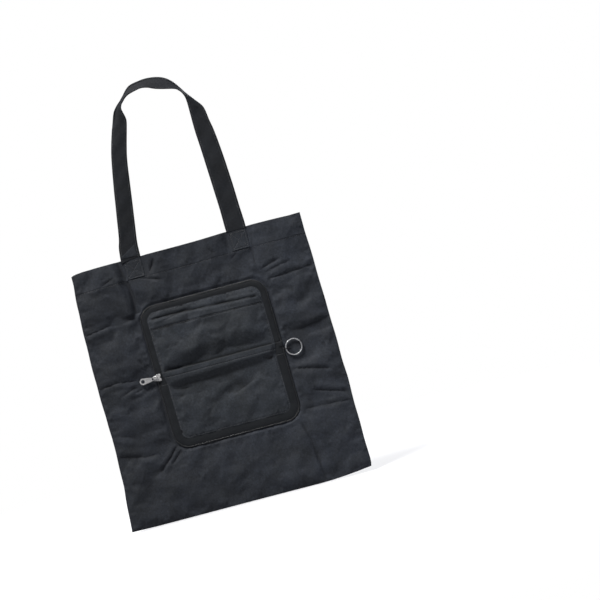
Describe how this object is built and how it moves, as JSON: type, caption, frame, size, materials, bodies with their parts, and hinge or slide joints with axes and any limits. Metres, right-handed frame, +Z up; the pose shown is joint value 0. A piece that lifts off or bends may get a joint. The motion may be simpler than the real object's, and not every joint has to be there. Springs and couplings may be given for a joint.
{
  "type": "foldable tote bag",
  "caption": "Flat tote bag with two carrying handles and a zip pouch on its front that the whole bag folds back into, with a pull tab and a key ring.",
  "frame": {"origin": "middle of the bag's bottom edge, halfway between the front and back sheets, bag unfolded and flat", "axes": "+X to the right seen from the front, +Z up from the bottom edge towards the handles, the pouch side faces -Y"},
  "size_m": [0.38, 0.0089, 0.69],
  "materials": {
    "tote_cloth": "matt woven cloth with a fine plain texture, creased where it folds",
    "strap": "doubled cloth strap, stitched along both edges",
    "pouch_cloth": "matt woven cloth with a fine plain texture",
    "zip_tape": "smooth ribbed zip tape",
    "zip_teeth": "nylon coil",
    "cord": "round braided cord",
    "zip_metal": "nickel plated die casting",
    "ring_steel": "nickel plated steel wire"
  },
  "bodies": {
    "upper_half": {"front_sheet_upper_centre": "tote_cloth", "back_sheet_upper_centre": "tote_cloth", "pouch_padding_upper": "pouch_cloth", "pouch_cover_upper": "pouch_cloth", "zip_tape_upper": "zip_tape", "zip_teeth_upper": "zip_teeth", "slip_pocket": "pouch_cloth", "zip_end_stop": "zip_metal", "zip_end_tab": "zip_tape"},
    "lower_half": {"front_sheet_lower_centre": "tote_cloth", "back_sheet_lower_centre": "tote_cloth", "pouch_padding_lower": "pouch_cloth", "pouch_cover_lower": "pouch_cloth", "zip_tape_lower": "zip_tape", "zip_teeth_lower": "zip_teeth"},
    "top_flap": {"front_sheet_top_centre": "tote_cloth", "back_sheet_top_centre": "tote_cloth", "front_handle_end_left": "strap", "front_handle_end_right": "strap", "back_handle_end_left": "strap", "back_handle_end_right": "strap"},
    "bottom_flap": {"front_sheet_bottom_centre": "tote_cloth", "back_sheet_bottom_centre": "tote_cloth"},
    "front_handle": {"front_handle_loop": "strap"},
    "back_handle": {"back_handle_loop": "strap"},
    "zip_slider": {"slider_body": "zip_metal", "slider_bridge": "zip_metal"},
    "pull_tab": {"pull_tab": "zip_metal"},
    "ring_cord": {"ring_cord": "cord"},
    "key_ring": {"key_ring": "ring_steel"},
    "left_wing_top": {"front_sheet_top_left": "tote_cloth", "back_sheet_top_left": "tote_cloth"},
    "right_wing_top": {"front_sheet_top_right": "tote_cloth", "back_sheet_top_right": "tote_cloth"},
    "left_wing_upper": {"front_sheet_upper_left": "tote_cloth", "back_sheet_upper_left": "tote_cloth"},
    "right_wing_upper": {"front_sheet_upper_right": "tote_cloth", "back_sheet_upper_right": "tote_cloth"},
    "left_wing_lower": {"front_sheet_lower_left": "tote_cloth", "back_sheet_lower_left": "tote_cloth"},
    "right_wing_lower": {"front_sheet_lower_right": "tote_cloth", "back_sheet_lower_right": "tote_cloth"},
    "left_wing_bottom": {"front_sheet_bottom_left": "tote_cloth", "back_sheet_bottom_left": "tote_cloth"},
    "right_wing_bottom": {"front_sheet_bottom_right": "tote_cloth", "back_sheet_bottom_right": "tote_cloth"}
  },
  "joints": [
    {"name": "pouch_fold", "type": "hinge", "parent": "upper_half", "child": "lower_half", "pos_m": [0.0045, 0.006, 0.221], "axis": [1, 0, 0], "range_deg": [0, 179.6]},
    {"name": "top_flap_fold", "type": "hinge", "parent": "upper_half", "child": "top_flap", "pos_m": [0.0045, 0.0025, 0.338], "axis": [-1, 0, 0], "range_deg": [0, 180]},
    {"name": "bottom_flap_fold", "type": "hinge", "parent": "lower_half", "child": "bottom_flap", "pos_m": [0.0045, 0.0025, 0.104], "axis": [1, 0, 0], "range_deg": [0, 180]},
    {"name": "left_wing_fold", "type": "hinge", "parent": "upper_half", "child": "left_wing_upper", "pos_m": [-0.102, 0.001, 0.2795], "axis": [0, 0, -1], "range_deg": [0, 180]},
    {"name": "left_wing_fold_top", "type": "hinge", "parent": "top_flap", "child": "left_wing_top", "pos_m": [-0.102, 0.001, 0.379], "axis": [0, 0, -1], "range_deg": [0, 180]},
    {"name": "left_wing_fold_lower", "type": "hinge", "parent": "lower_half", "child": "left_wing_lower", "pos_m": [-0.102, 0.001, 0.1625], "axis": [0, 0, -1], "range_deg": [0, 180]},
    {"name": "left_wing_fold_bottom", "type": "hinge", "parent": "bottom_flap", "child": "left_wing_bottom", "pos_m": [-0.102, 0.001, 0.052], "axis": [0, 0, -1], "range_deg": [0, 180]},
    {"name": "right_wing_fold", "type": "hinge", "parent": "upper_half", "child": "right_wing_upper", "pos_m": [0.111, 0.001, 0.2795], "axis": [0, 0, 1], "range_deg": [0, 180]},
    {"name": "right_wing_fold_top", "type": "hinge", "parent": "top_flap", "child": "right_wing_top", "pos_m": [0.111, 0.001, 0.379], "axis": [0, 0, 1], "range_deg": [0, 180]},
    {"name": "right_wing_fold_lower", "type": "hinge", "parent": "lower_half", "child": "right_wing_lower", "pos_m": [0.111, 0.001, 0.1625], "axis": [0, 0, 1], "range_deg": [0, 180]},
    {"name": "right_wing_fold_bottom", "type": "hinge", "parent": "bottom_flap", "child": "right_wing_bottom", "pos_m": [0.111, 0.001, 0.052], "axis": [0, 0, 1], "range_deg": [0, 180]},
    {"name": "handle_front_flop", "type": "hinge", "parent": "top_flap", "child": "front_handle", "pos_m": [0, -0.0014, 0.4203], "axis": [-1, 0, 0], "range_deg": [-174, 0]},
    {"name": "handle_back_flop", "type": "hinge", "parent": "top_flap", "child": "back_handle", "pos_m": [0, 0.0014, 0.4203], "axis": [1, 0, 0], "range_deg": [-174, 0]},
    {"name": "zip_slide", "type": "slide", "parent": "upper_half", "child": "zip_slider", "axis": [0, 0, 1], "range_m": [0, 0.08]},
    {"name": "pull_tab_flip", "type": "hinge", "parent": "zip_slider", "child": "pull_tab", "pos_m": [-0.0993, -0.0055, 0.2242], "axis": [0, 0, -1], "range_deg": [-165, 0]},
    {"name": "ring_cord_swing", "type": "hinge", "parent": "upper_half", "child": "ring_cord", "pos_m": [0.1131, -0.00362, 0.217], "axis": [0, 0, 1], "range_deg": [-120, 0]},
    {"name": "ring_spin", "type": "hinge", "parent": "ring_cord", "child": "key_ring", "pos_m": [0.1261, -0.00362, 0.217], "axis": [0, 1, 0], "continuous": true}
  ],
  "couplings": [
    {"joint": "left_wing_fold_top", "follows": "left_wing_fold", "ratio": 1},
    {"joint": "left_wing_fold_lower", "follows": "left_wing_fold", "ratio": 1},
    {"joint": "left_wing_fold_bottom", "follows": "left_wing_fold", "ratio": 1},
    {"joint": "right_wing_fold_top", "follows": "right_wing_fold", "ratio": 1},
    {"joint": "right_wing_fold_lower", "follows": "right_wing_fold", "ratio": 1},
    {"joint": "right_wing_fold_bottom", "follows": "right_wing_fold", "ratio": 1}
  ]
}
